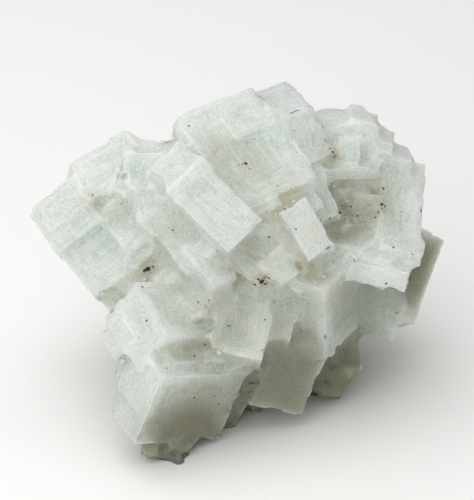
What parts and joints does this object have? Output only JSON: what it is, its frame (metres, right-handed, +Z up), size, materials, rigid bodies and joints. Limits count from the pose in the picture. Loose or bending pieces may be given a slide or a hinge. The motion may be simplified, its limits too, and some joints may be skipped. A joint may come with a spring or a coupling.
{
  "type": "halite crystal cluster",
  "caption": "Mineral specimen of intergrown cubic rock salt crystals with stepped hopper faces, cut level underneath so that it rests on a shelf or table.",
  "frame": {"origin": "centre of the bounding box, on the cut underside", "axes": "X runs along the cluster's width, Y away from the side with the large crystals, Z up"},
  "size_m": [0.1211, 0.097, 0.088],
  "materials": {
    "halite": "milky, etched rock salt"
  },
  "bodies": {
    "root": {"halite_cluster": "halite"}
  },
  "joints": []
}
